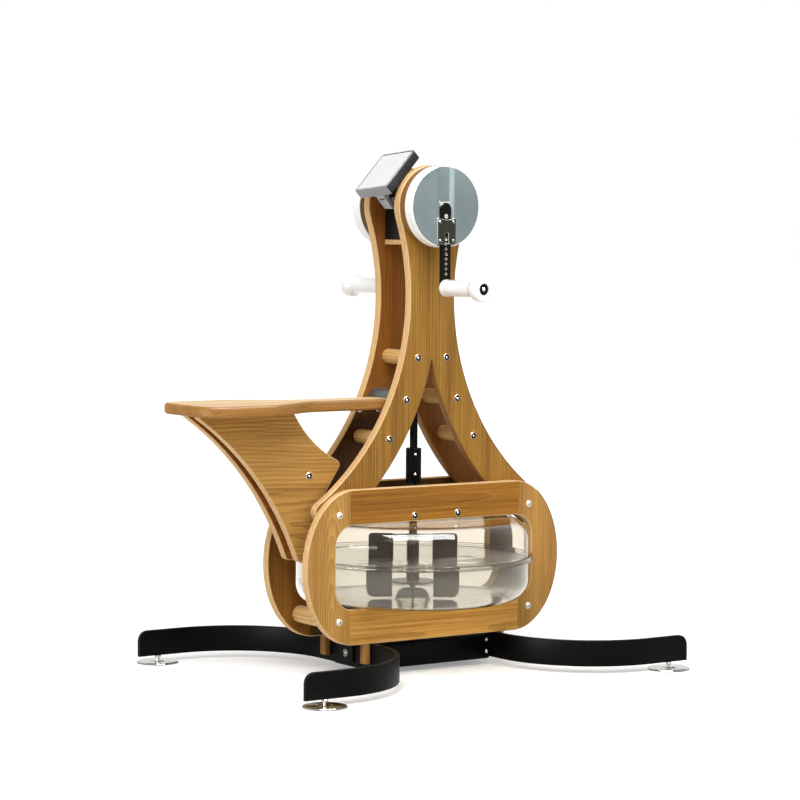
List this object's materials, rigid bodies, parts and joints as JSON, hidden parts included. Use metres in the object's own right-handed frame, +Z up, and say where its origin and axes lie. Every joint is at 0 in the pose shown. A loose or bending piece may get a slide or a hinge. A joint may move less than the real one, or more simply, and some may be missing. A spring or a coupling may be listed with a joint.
{
  "type": "water grinder ergometer",
  "caption": "Oak A-frame rowing-style hand crank trainer with a seat, turning crank arms, a round water tank with an impeller, a tilting display and curved feet.",
  "frame": {"origin": "on the floor, under the middle of the whole object's bounding box", "axes": "+Z up, the user sits at -X and looks along +X, +Y to the user's left, the cranks turn about Y"},
  "size_m": [1.312, 0.9318, 1.3673],
  "materials": {
    "oak": "satin lacquered oak",
    "black_steel": "satin black powder coat",
    "black_metal": "satin black",
    "black_plastic": "matt black",
    "screen": "pale grey display window",
    "grey_metal": "satin",
    "steel": "turned",
    "white_plastic": "satin white",
    "white_grip": "gloss white",
    "disc_aluminium": "satin blue-grey anodised",
    "smoke_plastic": "dark translucent",
    "clear_plastic": "clear, lightly smoke tinted",
    "chrome": "polished"
  },
  "bodies": {
    "frame": {"side_panel_near": "oak", "side_panel_far": "oak", "tank_frame_near_left": "oak", "tank_frame_near_right": "oak", "tank_frame_near_top": "oak", "tank_frame_near_bottom": "oak", "tank_frame_far_left": "oak", "tank_frame_far_right": "oak", "tank_frame_far_top": "oak", "tank_frame_far_bottom": "oak", "leg_dowel_left_1": "oak", "leg_dowel_left_3": "oak", "leg_dowel_right_1": "oak", "leg_dowel_right_2": "oak", "leg_dowel_right_3": "oak", "seat_clamp_bar": "grey_metal", "corner_dowel_left_upper": "oak", "corner_dowel_left_lower": "oak", "corner_dowel_right_upper": "oak", "corner_dowel_right_lower": "oak", "tank_bridge": "oak", "seat_board": "oak", "seat_bracket_near": "oak", "seat_bracket_far": "oak", "bracket_spacer": "oak", "gearbox_housing": "black_metal", "gearbox_shelf": "oak", "tank_upper": "clear_plastic", "tank_lower": "clear_plastic", "display_bracket": "grey_metal", "base_strip_left": "black_steel", "base_strip_right": "black_steel", "base_beam": "black_steel", "end_plate_left": "black_steel", "end_plate_right": "black_steel", "mount_block_left_near": "oak", "mount_block_left_far": "oak", "mount_block_right_near": "oak", "mount_block_right_far": "oak"},
    "crank": {"crank_axle": "steel", "drum_near": "white_plastic", "drum_far": "white_plastic", "face_disc_near": "disc_aluminium", "face_disc_far": "disc_aluminium", "bar_clamp_near": "black_steel", "bar_clamp_far": "black_steel"},
    "drive": {"drive_shaft": "black_steel", "shaft_coupling": "black_steel", "impeller": "smoke_plastic"},
    "bar_near": {"crank_bar_near": "black_steel"},
    "bar_far": {"crank_bar_far": "black_steel"},
    "grip_near": {"grip_near": "white_grip"},
    "grip_far": {"grip_far": "white_grip"},
    "display_tilt": {"display_knuckle": "grey_metal"},
    "display": {"display_housing": "black_plastic", "display_screen": "screen"},
    "foot_left_near": {"foot_left_near": "chrome"},
    "foot_left_far": {"foot_left_far": "chrome"},
    "foot_right_near": {"foot_right_near": "chrome"},
    "foot_right_far": {"foot_right_far": "chrome"}
  },
  "joints": [
    {"name": "crank_spin", "type": "hinge", "parent": "frame", "child": "crank", "pos_m": [0.054, 0, 1.22], "axis": [0, 1, 0], "continuous": true},
    {"name": "drive_spin", "type": "hinge", "parent": "frame", "child": "drive", "pos_m": [0.054, 0, 0.536], "axis": [0, 0, 1], "continuous": true},
    {"name": "bar_slide_near", "type": "slide", "parent": "crank", "child": "bar_near", "axis": [0, 0, 1], "range_m": [-0.039, 0.065]},
    {"name": "grip_spin_near", "type": "hinge", "parent": "bar_near", "child": "grip_near", "pos_m": [0.054, -0.2267, 1.0085], "axis": [0, 1, 0], "continuous": true},
    {"name": "bar_slide_far", "type": "slide", "parent": "crank", "child": "bar_far", "axis": [0, 0, 1], "range_m": [-0.039, 0.065]},
    {"name": "grip_spin_far", "type": "hinge", "parent": "bar_far", "child": "grip_far", "pos_m": [0.054, 0.2267, 1.0085], "axis": [0, 1, 0], "continuous": true},
    {"name": "display_tilt", "type": "hinge", "parent": "frame", "child": "display_tilt", "pos_m": [-0.05078, 0, 1.24728], "axis": [0, -1, 0], "range_deg": [0, 25]},
    {"name": "display_swivel", "type": "hinge", "parent": "display_tilt", "child": "display", "pos_m": [-0.06229, 0, 1.2591], "axis": [-0.6972, 0, 0.7169], "range_deg": [-22, 8]},
    {"name": "foot_left_near_level", "type": "slide", "parent": "frame", "child": "foot_left_near", "axis": [0, 0, 1], "range_m": [-0.01, 0.006]},
    {"name": "foot_left_far_level", "type": "slide", "parent": "frame", "child": "foot_left_far", "axis": [0, 0, 1], "range_m": [-0.01, 0.006]},
    {"name": "foot_right_near_level", "type": "slide", "parent": "frame", "child": "foot_right_near", "axis": [0, 0, 1], "range_m": [-0.01, 0.006]},
    {"name": "foot_right_far_level", "type": "slide", "parent": "frame", "child": "foot_right_far", "axis": [0, 0, 1], "range_m": [-0.01, 0.006]}
  ],
  "couplings": [
    {"joint": "drive_spin", "follows": "crank_spin", "ratio": -2}
  ]
}
